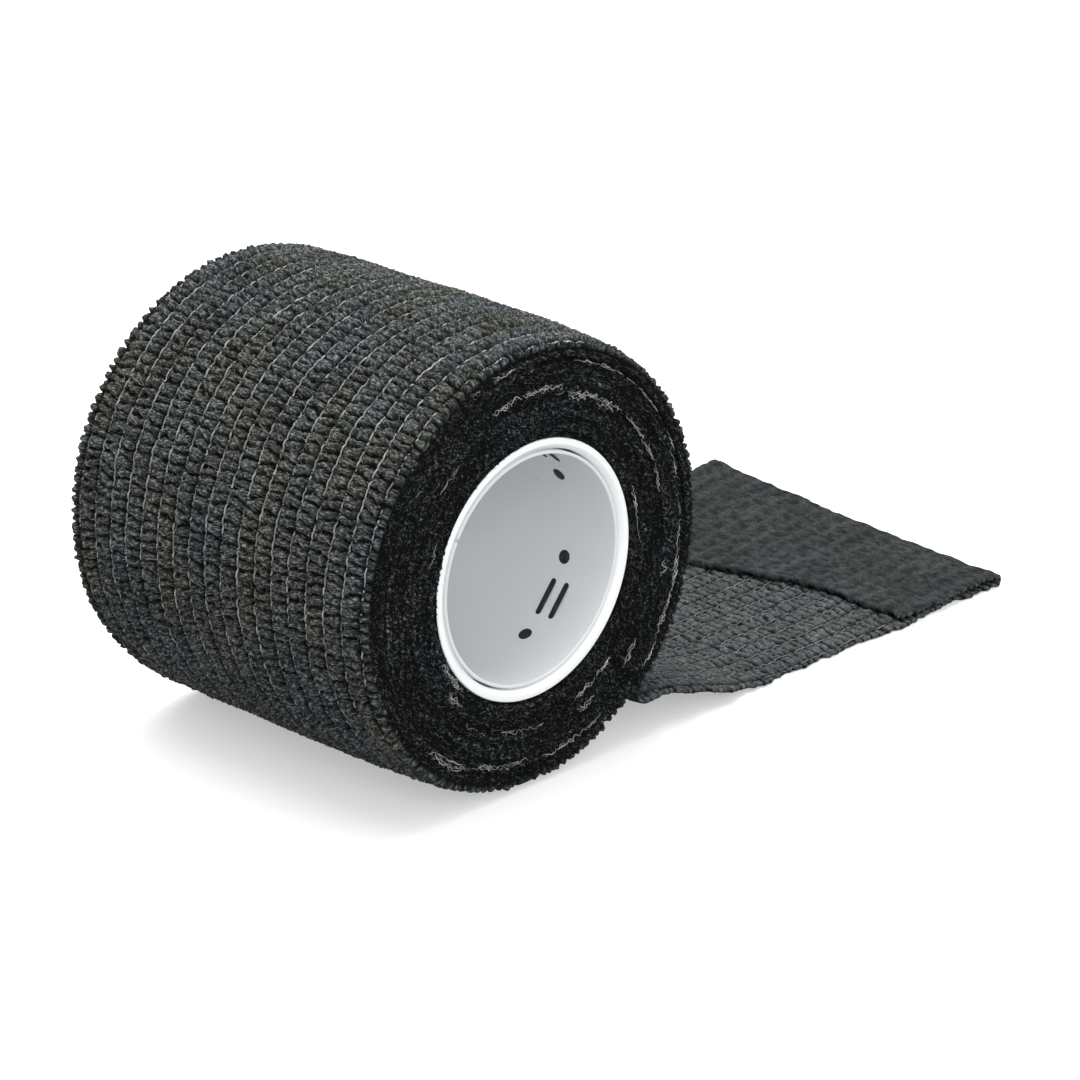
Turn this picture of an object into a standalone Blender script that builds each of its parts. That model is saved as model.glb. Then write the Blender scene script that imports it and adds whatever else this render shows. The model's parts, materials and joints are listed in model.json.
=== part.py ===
"""A roll of crimped elastic wrap tape on a plastic core, with its free end peeled off and folded over.

The tape is one strip. Its inner turns have bonded to each other, and its last two turns lie looser.

The roll's axis runs along Y. The origin is where the roll rests, under the middle of its axis, and
the free tape leaves towards +X. Sizes are in metres, and angles around the roll are measured from
straight down towards +X.
"""

import math

import bmesh
import bpy
from mathutils import Vector

# The tape
TAPE_WIDTH = 0.050
TAPE_THICKNESS = 0.00065
TURN_GAP = 0.0003
TURN_PITCH = TAPE_THICKNESS + TURN_GAP

# The core and the printed sleeve inside it
CORE_RADIUS = 0.0158
CORE_WALL = 0.0013
CORE_OUTER_EDGE = 0.0002
CORE_INNER_EDGE = 0.0004
LINER_THICKNESS = 0.0004
LINER_RECESS = 0.0005
LINER_SEAM_ANGLE = math.radians(240)
FIT_GAP = 0.0003

# The wound roll
ROLL_RADIUS = 0.0283
REST_DENT = 0.00035
PEEL_ANGLE = math.radians(41)
LOOSE_TURNS = 2
STEPS_PER_TURN = 60
STEP = 2 * math.pi / STEPS_PER_TURN

# The free tape: it peels off at a crease, comes down to the surface and lies flat up to its fold
CREASE_RADIUS = 0.00055
CREASE_STEPS = 8
TOUCHDOWN_X = 0.0425
FIRST_BEND_X = 0.030
SECOND_BEND_X = 0.057
FOLD_X = 0.0857
FOLD_GAP = 0.0003
CUT_X_NEAR = 0.0665
CUT_X_FAR = 0.0615
FAR_LIFT = 0.003
HINGE_GAP = 0.0003
SPAN_STEPS = 12

HALF_WIDTH = TAPE_WIDTH / 2
HALF_THICKNESS = TAPE_THICKNESS / 2


def clear_scene():
    for obj in list(bpy.data.objects):
        bpy.data.objects.remove(obj)


def make_material(name, color, roughness):
    material = bpy.data.materials.new(name)
    material.use_nodes = True
    shader = material.node_tree.nodes["Principled BSDF"]
    shader.inputs["Base Color"].default_value = (*color, 1)
    shader.inputs["Roughness"].default_value = roughness
    shader.inputs["Metallic"].default_value = 0
    return material


def finish_object(name, mesh_data, material, origin, sharp_angle):
    """Makes the object, with its origin on the given point and its round faces shaded smooth."""
    bmesh.ops.translate(mesh_data, verts=mesh_data.verts, vec=-origin)
    bmesh.ops.recalc_face_normals(mesh_data, faces=mesh_data.faces)
    mesh = bpy.data.meshes.new(name)
    mesh_data.to_mesh(mesh)
    mesh_data.free()
    mesh.shade_smooth()
    mesh.set_sharp_from_angle(angle=sharp_angle)
    mesh.materials.append(material)
    obj = bpy.data.objects.new(name, mesh)
    obj.location = origin
    bpy.context.scene.collection.objects.link(obj)
    return obj


def loft(sections, closed):
    """A solid whose surface runs through the sections, each a ring of the same number of points."""
    mesh_data = bmesh.new()
    rings = [[mesh_data.verts.new(point) for point in section] for section in sections]
    pairs = list(zip(rings, rings[1:]))
    if closed:
        pairs.append((rings[-1], rings[0]))
    for ring, following in pairs:
        for i in range(len(ring)):
            j = (i + 1) % len(ring)
            mesh_data.faces.new((ring[i], ring[j], following[j], following[i]))
    if not closed:
        mesh_data.faces.new(rings[0])
        mesh_data.faces.new(rings[-1])
    return mesh_data


# The roll's shape


def spiral_radius(turns):
    """The radius of the tape's outer face, this many turns inwards from the peel."""
    return ROLL_RADIUS - TURN_PITCH * turns


def outer_radius(angle):
    """The radius of the roll's outside. It grows by one pitch over the last turn, up to the peel."""
    return spiral_radius(((angle - PEEL_ANGLE) % (2 * math.pi)) / (2 * math.pi))


AXIS_HEIGHT = outer_radius(0) - REST_DENT
ROLL_AXIS = Vector((0, 0, AXIS_HEIGHT))


def around_roll(angle, radius):
    """The x and z of a point at this angle and radius from the roll's axis."""
    return radius * math.sin(angle), AXIS_HEIGHT - radius * math.cos(angle)


def pressed(angle, radius):
    """The radius after the soft turns under the core have flattened on the surface below them."""
    outside = outer_radius(angle)
    inside = CORE_RADIUS + FIT_GAP
    depth = math.cos(angle)
    if depth * outside <= AXIS_HEIGHT:
        return radius
    share = (AXIS_HEIGHT / depth - inside) / (outside - inside)
    return inside + (radius - inside) * share


def tape_section(one_face, other_face):
    """The tape cut across: four corners from the x and z of its two faces."""
    return [
        (one_face[0], -HALF_WIDTH, one_face[1]),
        (one_face[0], HALF_WIDTH, one_face[1]),
        (other_face[0], HALF_WIDTH, other_face[1]),
        (other_face[0], -HALF_WIDTH, other_face[1]),
    ]


def turned_section(profile, angle):
    """A profile of radius and y pairs, turned to this angle about the roll's axis."""
    section = []
    for radius, y in profile:
        x, z = around_roll(angle, radius)
        section.append((x, y, z))
    return section


# The roll's pieces


def build_core_tube():
    bore = CORE_RADIUS - CORE_WALL
    half_profile = [
        (CORE_RADIUS, HALF_WIDTH - CORE_OUTER_EDGE),
        (CORE_RADIUS - CORE_OUTER_EDGE, HALF_WIDTH),
        (bore + CORE_INNER_EDGE, HALF_WIDTH),
        (bore, HALF_WIDTH - CORE_INNER_EDGE),
    ]
    profile = half_profile + [(radius, -y) for radius, y in reversed(half_profile)]
    sections = [turned_section(profile, i * STEP) for i in range(STEPS_PER_TURN)]
    material = make_material("core_plastic", (0.86, 0.87, 0.88), 0.28)
    return finish_object("core_tube", loft(sections, True), material, ROLL_AXIS, math.radians(30))


def build_core_liner():
    """The printed sheet, rolled into a sleeve whose two edges nearly meet at the seam."""
    outside = CORE_RADIUS - CORE_WALL - FIT_GAP
    inside = outside - LINER_THICKNESS
    half_length = HALF_WIDTH - LINER_RECESS
    profile = [
        (outside, half_length),
        (inside, half_length),
        (inside, -half_length),
        (outside, -half_length),
    ]
    angles = [LINER_SEAM_ANGLE + i * STEP for i in range(STEPS_PER_TURN)]
    sections = [turned_section(profile, angle) for angle in angles]
    material = make_material("liner_print", (0.72, 0.74, 0.75), 0.35)
    return finish_object("core_liner", loft(sections, False), material, ROLL_AXIS, math.radians(30))


def build_inner_turns(material):
    """The turns that have bonded into one ring. Its outside steps down where the loose tape starts."""
    innermost = CORE_RADIUS + FIT_GAP
    sections = []
    for i in range(STEPS_PER_TURN):
        angle = PEEL_ANGLE + i * STEP
        outer = pressed(angle, spiral_radius(LOOSE_TURNS + i / STEPS_PER_TURN))
        sections.append(tape_section(around_roll(angle, outer), around_roll(angle, innermost)))
    return finish_object("inner_turns", loft(sections, True), material, ROLL_AXIS, math.radians(40))


def build_outer_turns(material):
    """The last turns of the strip, as a spiral of equal gaps that ends short of the step inside it."""
    sections = []
    for i in range(LOOSE_TURNS * STEPS_PER_TURN):
        angle = PEEL_ANGLE + i * STEP
        face = spiral_radius(i / STEPS_PER_TURN)
        outer = around_roll(angle, pressed(angle, face))
        inner = around_roll(angle, pressed(angle, face - TAPE_THICKNESS))
        sections.append(tape_section(outer, inner))
    return finish_object("outer_turns", loft(sections, False), material, ROLL_AXIS, math.radians(40))


# The free tape's shape

CREASE_ANGLE = PEEL_ANGLE - FIT_GAP / ROLL_RADIUS
CREASE_X, CREASE_Z = around_roll(CREASE_ANGLE, ROLL_RADIUS - HALF_THICKNESS + CREASE_RADIUS)


def middle_height(x):
    """The height of the middle of the tape's thickness, from the crease down to the surface."""
    if x >= TOUCHDOWN_X:
        return HALF_THICKNESS
    share = (x - CREASE_X) / (TOUCHDOWN_X - CREASE_X)
    drop = CREASE_Z - CREASE_RADIUS - HALF_THICKNESS
    return HALF_THICKNESS + drop * (1 + math.cos(math.pi * share)) / 2


def slope(x):
    if x >= TOUCHDOWN_X:
        return 0
    length = TOUCHDOWN_X - CREASE_X
    drop = CREASE_Z - CREASE_RADIUS - HALF_THICKNESS
    return -drop * math.pi / (2 * length) * math.sin(math.pi * (x - CREASE_X) / length)


def lift(x, y):
    """How far the end has curled up off the surface, towards the far corner of its fold."""
    along = max(0, (x - SECOND_BEND_X) / (FOLD_X - SECOND_BEND_X))
    rise = along**2 * (3 - 2 * along)
    across = (y + HALF_WIDTH) / TAPE_WIDTH
    return FAR_LIFT * rise * across


def lifted(section):
    return [(x, y, z + lift(x, y)) for x, y, z in section]


def free_section(x):
    """The tape cut across at this x, square to its own slope."""
    tilt = math.atan(slope(x))
    across = Vector((-math.sin(tilt), math.cos(tilt))) * HALF_THICKNESS
    middle = Vector((x, middle_height(x)))
    return lifted(tape_section(middle + across, middle - across))


def span_sections(start_x, end_x):
    length = end_x - start_x
    return [free_section(start_x + length * i / SPAN_STEPS) for i in range(SPAN_STEPS + 1)]


def crease_sections():
    """The tight bend in which the tape turns back from the roll, without its last section."""
    start = math.pi / 2 + CREASE_ANGLE
    turn = 3 * math.pi / 2 - start
    sections = []
    for i in range(CREASE_STEPS):
        angle = start + turn * i / CREASE_STEPS
        direction = Vector((math.cos(angle), math.sin(angle)))
        centre = Vector((CREASE_X, CREASE_Z))
        top = centre + direction * (CREASE_RADIUS - HALF_THICKNESS)
        bottom = centre + direction * (CREASE_RADIUS + HALF_THICKNESS)
        sections.append(tape_section(top, bottom))
    return sections


# The free tape's pieces, each with its origin on its own bend


def bend_point(x):
    """The bend's axis lies on the tape's upper face, which closes as the tape curls up."""
    return Vector((x, 0, middle_height(x) + HALF_THICKNESS))


def build_tail_root(material):
    sections = crease_sections() + span_sections(CREASE_X, FIRST_BEND_X - HINGE_GAP / 2)
    crease = Vector((CREASE_X, 0, CREASE_Z))
    return finish_object("tail_root", loft(sections, False), material, crease, math.radians(40))


def build_tail_middle(material):
    sections = span_sections(FIRST_BEND_X + HINGE_GAP / 2, SECOND_BEND_X - HINGE_GAP / 2)
    bend = bend_point(FIRST_BEND_X)
    return finish_object("tail_middle", loft(sections, False), material, bend, math.radians(40))


def build_tail_end(material):
    sections = span_sections(SECOND_BEND_X + HINGE_GAP / 2, FOLD_X - HINGE_GAP / 2)
    bend = bend_point(SECOND_BEND_X)
    return finish_object("tail_end", loft(sections, False), material, bend, math.radians(40))


def build_folded_end(material):
    """The last stretch, folded back on the tail. Its cut edge is slightly out of square."""
    low = TAPE_THICKNESS + FOLD_GAP
    high = low + TAPE_THICKNESS
    edge_x = FOLD_X - HINGE_GAP / 2
    sections = []
    for i in range(SPAN_STEPS + 1):
        near_x = edge_x + (CUT_X_NEAR - edge_x) * i / SPAN_STEPS
        far_x = edge_x + (CUT_X_FAR - edge_x) * i / SPAN_STEPS
        section = [
            (near_x, -HALF_WIDTH, low),
            (near_x, -HALF_WIDTH, high),
            (far_x, HALF_WIDTH, high),
            (far_x, HALF_WIDTH, low),
        ]
        sections.append(lifted(section))
    fold = Vector((FOLD_X, 0, TAPE_THICKNESS + FOLD_GAP / 2 + lift(FOLD_X, 0)))
    return finish_object("folded_end", loft(sections, False), material, fold, math.radians(40))


def chain(pieces):
    """Parents each piece of the free tape to the one before it, where it already lies."""
    bpy.context.view_layer.update()
    for parent, child in zip(pieces, pieces[1:]):
        child.parent = parent
        child.matrix_parent_inverse = parent.matrix_world.inverted()


def main():
    clear_scene()
    build_core_tube()
    build_core_liner()
    wound_fabric = make_material("wound_fabric", (0.030, 0.032, 0.033), 0.95)
    build_inner_turns(wound_fabric)
    outer_turns = build_outer_turns(wound_fabric)
    outer_face = make_material("tail_fabric", (0.060, 0.065, 0.064), 0.95)
    inner_face = make_material("folded_fabric", (0.045, 0.048, 0.048), 0.95)
    tail = [build_tail_root(outer_face), build_tail_middle(outer_face), build_tail_end(outer_face)]
    chain([outer_turns, *tail, build_folded_end(inner_face)])


main()
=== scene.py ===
"""The looks of the wrap roll: crimped elastic fabric, its threads and fuzz, and the plastic core.

Lengths are in millimetres until a mesh is made, and angles around the roll are measured from
straight down towards +X. A place on the tape is its run, which is 0 at the peel, grows as the
tape winds inwards and is negative along the free end, and how far it is across the tape, from
-25 at the near edge to 25 at the far one.
"""

import itertools
import json
import math

import bpy
import numpy as np
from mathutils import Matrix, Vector


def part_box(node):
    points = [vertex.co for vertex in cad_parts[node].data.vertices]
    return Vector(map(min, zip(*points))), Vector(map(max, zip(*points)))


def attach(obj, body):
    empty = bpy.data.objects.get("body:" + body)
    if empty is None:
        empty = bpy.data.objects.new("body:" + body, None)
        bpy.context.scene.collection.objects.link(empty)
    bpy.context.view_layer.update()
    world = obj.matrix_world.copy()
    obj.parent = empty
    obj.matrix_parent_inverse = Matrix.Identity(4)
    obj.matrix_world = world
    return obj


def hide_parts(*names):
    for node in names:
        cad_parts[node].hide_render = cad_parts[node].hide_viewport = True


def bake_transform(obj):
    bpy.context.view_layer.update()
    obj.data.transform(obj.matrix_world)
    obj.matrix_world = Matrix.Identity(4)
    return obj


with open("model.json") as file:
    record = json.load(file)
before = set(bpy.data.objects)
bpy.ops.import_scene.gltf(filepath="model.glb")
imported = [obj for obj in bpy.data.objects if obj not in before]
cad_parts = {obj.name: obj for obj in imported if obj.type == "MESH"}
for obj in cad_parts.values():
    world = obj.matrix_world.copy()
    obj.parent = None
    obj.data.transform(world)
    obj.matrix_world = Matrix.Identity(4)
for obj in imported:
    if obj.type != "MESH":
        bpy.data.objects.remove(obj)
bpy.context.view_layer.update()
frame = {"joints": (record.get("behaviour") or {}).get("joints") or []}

MM = 0.001
FULL_TURN = 2 * math.pi


def box_of(node):
    low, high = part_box(node)
    return np.array(low) / MM, np.array(high) / MM


def joint_point(name):
    joint = next(j for j in frame["joints"] if j["name"] == name)
    return np.array(joint["pos_m"]) / MM


# The sizes that the CAD settles
CORE_LOW, CORE_HIGH = box_of("core_tube")
CORE_RADIUS = (CORE_HIGH[0] - CORE_LOW[0]) / 2
AXIS_HEIGHT = (CORE_HIGH[2] + CORE_LOW[2]) / 2
HALF_WIDTH = CORE_HIGH[1]
LINER_LOW, LINER_HIGH = box_of("core_liner")
LINER_OUTER = (LINER_HIGH[0] - LINER_LOW[0]) / 2
LINER_HALF_LENGTH = LINER_HIGH[1]
CREASE = joint_point("tail_peel")[[0, 2]]
SECOND_BEND_X = joint_point("tail_curl_far")[0]
FOLD_X = joint_point("end_unfold")[0]

# The sizes of the roll and the tape, as in the CAD
ROLL_RADIUS = 28.3
TURN_PITCH = 0.95
TAPE_THICKNESS = 0.65
HALF_THICKNESS = TAPE_THICKNESS / 2
PEEL_ANGLE = math.radians(41)
CREASE_RADIUS = 0.55
TOUCHDOWN_X = 42.5
FOLD_GAP = 0.5
FAR_LIFT = 3.0
CORE_WALL = 1.3
LINER_THICKNESS = 0.4
LINER_SEAM_ANGLE = math.radians(240)

# The fabric's make-up
THREAD_PITCH = 2.8
THREAD_COUNT = 18
FIRST_THREAD = (2 * HALF_WIDTH - (THREAD_COUNT - 1) * THREAD_PITCH) / 2
THREAD_RADIUS = 0.11
THREAD_STEP = 0.16
THREAD_SIDES = 5
PUFF_LENGTH = 1.3
RELIEF = 0.68


# Noise and small helpers


def noise(places, size, seed):
    """Smooth random values from about -1 to 1 at places (n, d), in lumps of the given size."""
    dims = places.shape[1]
    cells = 128 if dims == 2 else 40
    rng = np.random.default_rng(seed)
    gradients = rng.normal(size=(cells,) * dims + (dims,))
    gradients /= np.linalg.norm(gradients, axis=-1, keepdims=True)
    scaled = places / np.array(size) + rng.uniform(0, cells, dims)
    cell = np.floor(scaled).astype(int)
    part = scaled - cell
    fade = part**3 * (part * (part * 6 - 15) + 10)
    total = np.zeros(len(places))
    for corner in itertools.product((0, 1), repeat=dims):
        index = tuple(((cell + corner) % cells).T)
        weight = np.prod(np.where(corner, fade, 1 - fade), axis=1)
        total += weight * np.sum(gradients[index] * (part - corner), axis=1)
    return total * 1.7


def noise_2d(first, second, size, seed):
    first, second = np.broadcast_arrays(first, second)
    places = np.stack([first.ravel(), second.ravel()], -1)
    return noise(places, size, seed).reshape(first.shape)


def smoothstep(low, high, value):
    share = np.clip((value - low) / (high - low), 0, 1)
    return share * share * (3 - 2 * share)


def unit(vectors):
    return vectors / np.linalg.norm(vectors, axis=-1, keepdims=True)


# Meshes


def grid_faces(rows, columns, closed):
    """The quads of a grid of points. A closed one joins its last column to its first."""
    row = np.arange(rows - 1)[:, None]
    column = np.arange(columns if closed else columns - 1)[None, :]
    following = (column + 1) % columns
    corners = [
        row * columns + column,
        row * columns + following,
        (row + 1) * columns + following,
        (row + 1) * columns + column,
    ]
    return np.stack([np.broadcast_to(c, corners[0].shape) for c in corners], -1).reshape(-1, 4)


class Shape:
    """Points with their faces and, for each point, its place on the tape and how high it stands."""

    def __init__(self, points, faces, strip, height, material=0):
        self.points = points
        self.faces = faces
        self.strip = strip
        self.height = height
        self.material = material


def plain_shape(points, faces, material=0):
    return Shape(points, faces, points, np.ones(len(points)), material)


def make_object(name, shapes, materials):
    points = np.concatenate([s.points for s in shapes])
    starts = np.cumsum([0] + [len(s.points) for s in shapes])
    groups = [(f + start, s.material) for s, start in zip(shapes, starts) for f in s.faces]
    corners = np.concatenate([f.ravel() for f, _ in groups])
    sizes = np.concatenate([np.full(len(f), f.shape[1]) for f, _ in groups])
    slots = np.concatenate([np.full(len(f), slot) for f, slot in groups])
    mesh = bpy.data.meshes.new(name)
    mesh.vertices.add(len(points))
    mesh.vertices.foreach_set("co", (points * MM).astype(np.float32).ravel())
    mesh.loops.add(len(corners))
    mesh.loops.foreach_set("vertex_index", corners.astype(np.int32))
    mesh.polygons.add(len(sizes))
    mesh.polygons.foreach_set("loop_start", (np.cumsum(sizes) - sizes).astype(np.int32))
    mesh.polygons.foreach_set("material_index", slots.astype(np.int32))
    mesh.update(calc_edges=True)
    strip = mesh.attributes.new("strip", "FLOAT_VECTOR", "POINT")
    strips = np.concatenate([s.strip for s in shapes])
    strip.data.foreach_set("vector", strips.astype(np.float32).ravel())
    height = mesh.attributes.new("height", "FLOAT", "POINT")
    heights = np.concatenate([s.height for s in shapes])
    height.data.foreach_set("value", heights.astype(np.float32))
    mesh.shade_smooth()
    for material in materials:
        mesh.materials.append(material)
    obj = bpy.data.objects.new(name, mesh)
    bpy.context.scene.collection.objects.link(obj)
    return obj


def roll_piece(name, shapes, material):
    """A piece that keeps still on the roll."""
    obj = make_object(name, shapes, [material])
    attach(obj, "roll")
    return obj


def tubes(paths, radii, normals, sides, material=0):
    """Closed tubes along paths (n, k, 3), with a radius and a normal for each of their points."""
    count, steps = paths.shape[:2]
    along = unit(np.gradient(paths, axis=1))
    across = unit(np.cross(along, normals))
    upward = np.cross(across, along)
    turn = np.arange(sides)[:, None] * FULL_TURN / sides
    ring = across[:, :, None] * np.cos(turn) + upward[:, :, None] * np.sin(turn)
    points = paths[:, :, None] + ring * radii[:, :, None, None]
    base = (np.arange(count) * steps * sides)[:, None, None]
    walls = (grid_faces(steps, sides, True)[None] + base).reshape(-1, 4)
    first = np.arange(sides)[None, None] + base
    last = np.arange(sides)[::-1][None, None] + (steps - 1) * sides + base
    caps = np.concatenate([first, last]).reshape(-1, sides)
    return plain_shape(points.reshape(-1, 3), [walls[:, ::-1], caps[:, ::-1]], material)


# Materials


def new_material(name, roughness, specular):
    material = bpy.data.materials.new(name)
    material.use_nodes = True
    shader = material.node_tree.nodes["Principled BSDF"]
    shader.inputs["Roughness"].default_value = roughness
    shader.inputs["Specular IOR Level"].default_value = specular
    return material, shader


def connect(material, value, socket):
    if isinstance(value, bpy.types.NodeSocket):
        material.node_tree.links.new(value, socket)
    else:
        socket.default_value = value


def add_node(material, kind, inputs, **settings):
    node = material.node_tree.nodes.new(kind)
    for key, value in settings.items():
        setattr(node, key, value)
    for key, value in inputs.items():
        connect(material, value, node.inputs[key])
    return node


def attribute(material, name, output):
    return add_node(material, "ShaderNodeAttribute", {}, attribute_name=name).outputs[output]


def scale_vector(material, vector, scale):
    inputs = {0: vector, 1: scale}
    return add_node(material, "ShaderNodeVectorMath", inputs, operation="MULTIPLY").outputs[0]


def noise_texture(material, place, scale, detail):
    """A noise texture with this many lumps per unit of the place, along each axis."""
    inputs = {"Vector": scale_vector(material, place, scale), "Scale": 1.0, "Detail": detail}
    return add_node(material, "ShaderNodeTexNoise", inputs).outputs["Fac"]


def remap(material, value, low, high, to_low=0.0, to_high=1.0):
    inputs = {"Value": value, "From Min": low, "From Max": high}
    inputs |= {"To Min": to_low, "To Max": to_high}
    return add_node(material, "ShaderNodeMapRange", inputs).outputs["Result"]


def multiply(material, first, second):
    inputs = {0: first, 1: second}
    return add_node(material, "ShaderNodeMath", inputs, operation="MULTIPLY").outputs[0]


def mix_colors(material, share, first, second):
    inputs = {0: share, 6: first, 7: second}
    return add_node(material, "ShaderNodeMix", inputs, data_type="RGBA").outputs[2]


def scale_color(material, color, factor):
    inputs = {0: color, "Scale": factor}
    return add_node(material, "ShaderNodeVectorMath", inputs, operation="SCALE").outputs[0]


def bump(material, height, strength, distance):
    inputs = {"Height": height, "Strength": strength, "Distance": distance}
    return add_node(material, "ShaderNodeBump", inputs).outputs["Normal"]


def gray(level, tint=(1.0, 1.0, 1.0)):
    return (level * tint[0], level * tint[1], level * tint[2], 1.0)


COOL = (0.95, 1.0, 0.99)
COLD = (0.87, 1.01, 1.09)
BLUISH = (0.9, 1.0, 1.08)
OLIVE = (1.02, 1.04, 0.87)
SAGE = (0.96, 1.03, 0.98)
FIBRE_GRAIN = (4.6, 1.9, 0.0)
CUT_GRAIN = (2.4, 3.4, 0.0)


def crimped_color(material, slot, crest, fibre):
    """Dark in the slots and lighter on the crests, which is painted shade in the slots, with fine
    pale fibres lying over the crests.
    """
    place = attribute(material, "strip", "Vector")
    height = attribute(material, "height", "Fac")
    slot_shade_and_fibre_mask = remap(material, height, 0.25, 1.0)
    # Painted shade: by height, the slots take the dark colour and the crests the lighter one
    color = mix_colors(material, slot_shade_and_fibre_mask, gray(slot, COOL), gray(crest, COOL))
    streaks = noise_texture(material, place, FIBRE_GRAIN, 4.0)
    share = multiply(material, remap(material, streaks, 0.48, 0.66), slot_shade_and_fibre_mask)
    return mix_colors(material, share, color, gray(fibre, COOL))


def patchy(material, color, low, high, greenest):
    """Lighter and darker patches, and a dye that drifts from a little blue to a little green."""
    place = attribute(material, "strip", "Vector")
    patches = noise_texture(material, place, (0.13, 0.16, 0.0), 2.0)
    dye = noise_texture(material, place, (0.06, 0.1, 0.0), 3.0)
    share = remap(material, dye, 0.38, 0.62)
    tint = mix_colors(material, share, gray(1.0, BLUISH), gray(1.0, greenest))
    tinted = scale_vector(material, color, tint)
    return scale_color(material, tinted, remap(material, patches, 0.3, 0.7, low, high))


def finish_fabric(material, shader, color):
    place = attribute(material, "strip", "Vector")
    connect(material, color, shader.inputs["Base Color"])
    fine = noise_texture(material, place, (7.0, 3.2, 0.0), 3.0)
    normal = bump(material, fine, 0.8, 0.00015)
    connect(material, normal, shader.inputs["Normal"])
    rough = remap(material, fine, 0.3, 0.7, 1.0, 0.8)
    connect(material, rough, shader.inputs["Roughness"])


def wound_material():
    """The roll's side, and its end faces, where the cut edges are near black with grey specks."""
    material, shader = new_material("wound_fabric_look", 0.92, 0.08)
    side = crimped_color(material, 0.003, 0.026, 0.18)
    place = attribute(material, "strip", "Vector")
    height = attribute(material, "height", "Fac")
    specks = noise_texture(material, place, CUT_GRAIN, 3.0)
    share = multiply(
        material,
        remap(material, specks, 0.5, 0.62),
        remap(material, height, 0.45, 0.85),
    )
    end = mix_colors(material, share, gray(0.004, COLD), gray(0.18, COLD))
    axes = add_node(material, "ShaderNodeSeparateXYZ", {0: place})
    color = mix_colors(material, axes.outputs["Z"], side, end)
    finish_fabric(material, shader, patchy(material, color, 0.75, 1.3, OLIVE))
    return material


def tail_material():
    """The free tape's crimped outer face, and its smoother inner face, whose darker colour is
    partly its own and partly painted shade.
    """
    material, shader = new_material("tail_fabric_look", 0.95, 0.08)
    outer = crimped_color(material, 0.005, 0.06, 0.14)
    # The inner face shows on top of the folded flap. It is darker than the outer face: partly its
    # own tone, partly painted shade for the roll's shadow over the flap
    inner = crimped_color(material, 0.013, 0.035, 0.06)
    place = attribute(material, "strip", "Vector")
    axes = add_node(material, "ShaderNodeSeparateXYZ", {0: place})
    color = mix_colors(material, axes.outputs["Z"], outer, inner)
    finish_fabric(material, shader, patchy(material, color, 0.8, 1.2, SAGE))
    return material


def thread_material(name, dark, light):
    material, shader = new_material(name, 0.65, 0.3)
    place = attribute(material, "strip", "Vector")
    wear = noise_texture(material, place, (0.8, 0.8, 0.8), 3.0)
    color = mix_colors(material, remap(material, wear, 0.35, 0.65), gray(dark), gray(light))
    connect(material, color, shader.inputs["Base Color"])
    return material


def plastic_material(name, color, roughness):
    material, shader = new_material(name, roughness, 0.5)
    place = add_node(material, "ShaderNodeTexCoord", {}).outputs["Object"]
    cloud = noise_texture(material, place, (90.0, 90.0, 90.0), 4.0)
    share = remap(material, cloud, 0.3, 0.7)
    faded = tuple(0.985 * c for c in color)
    tint = mix_colors(material, share, (*faded, 1.0), (*color, 1.0))
    connect(material, tint, shader.inputs["Base Color"])
    rough = remap(material, cloud, 0.3, 0.7, roughness - 0.04, roughness + 0.08)
    connect(material, rough, shader.inputs["Roughness"])
    grain = noise_texture(material, place, (1500.0, 1500.0, 1500.0), 2.0)
    connect(material, bump(material, grain, 0.25, 0.00003), shader.inputs["Normal"])
    return material


# The fabric's relief


def wander(run, across):
    """How far the threads stray sideways, in millimetres."""
    slow = noise_2d(run, 0.4 * across, 34.0, 21)
    quick = noise_2d(run, across, (7.0, 9.0), 22)
    return 0.75 * slow + 0.22 * quick


def thread_across(index, run):
    """How far across the tape a thread lies, all along its run."""
    straight = -HALF_WIDTH + FIRST_THREAD + index * THREAD_PITCH
    across = np.broadcast_to(straight, run.shape)
    for _ in range(3):
        across = straight + wander(run, across)
    return across


COLUMN_SHIFT = np.random.default_rng(31).uniform(-0.16, 0.16, 64)


def puff_phase(run, across, column):
    """Which puff of its column a place is on. Slots lie at whole numbers."""
    warp = 0.4 * noise_2d(run, across, (2.4, 2.6), 23) + 0.2 * noise_2d(run, across, 0.9, 24)
    return run / PUFF_LENGTH + warp + COLUMN_SHIFT[column % len(COLUMN_SHIFT)]


def to_nearest_whole(phase):
    part = phase - np.floor(phase)
    return np.minimum(part, 1 - part)


def crimp(run, across):
    """The height of the outer face between the threads, from about 0 in its slots to 1."""
    place = (across + HALF_WIDTH - FIRST_THREAD - wander(run, across)) / THREAD_PITCH
    column = np.floor(place).astype(int)
    between = place - column
    phase = puff_phase(run, across, column)
    along = phase - np.floor(phase)
    to_slot = to_nearest_whole(phase) * PUFF_LENGTH
    to_thread = to_nearest_whole(place) * THREAD_PITCH
    slot_depth = np.clip(0.85 + 0.7 * noise_2d(run, across, (1.7, 1.5), 25), 0.1, 1)
    thread_depth = np.clip(0.8 + 0.5 * noise_2d(run, across, (1.5, 3.0), 26), 0.2, 1)
    slot = np.exp(-((to_slot / 0.2) ** 2)) * slot_depth
    channel = np.exp(-((to_thread / 0.3) ** 2)) * thread_depth
    dome = (4 * between * (1 - between)) ** 0.35 * (4 * along * (1 - along)) ** 0.4
    creases = 0.26 * noise_2d(run, across, (0.4, 1.2), 27)
    creases += 0.2 * noise_2d(run, across, (0.24, 0.34), 28)
    return (1 - slot) * (1 - 0.85 * channel) * (0.55 + 0.45 * dome) + creases


# The wound roll

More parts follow.
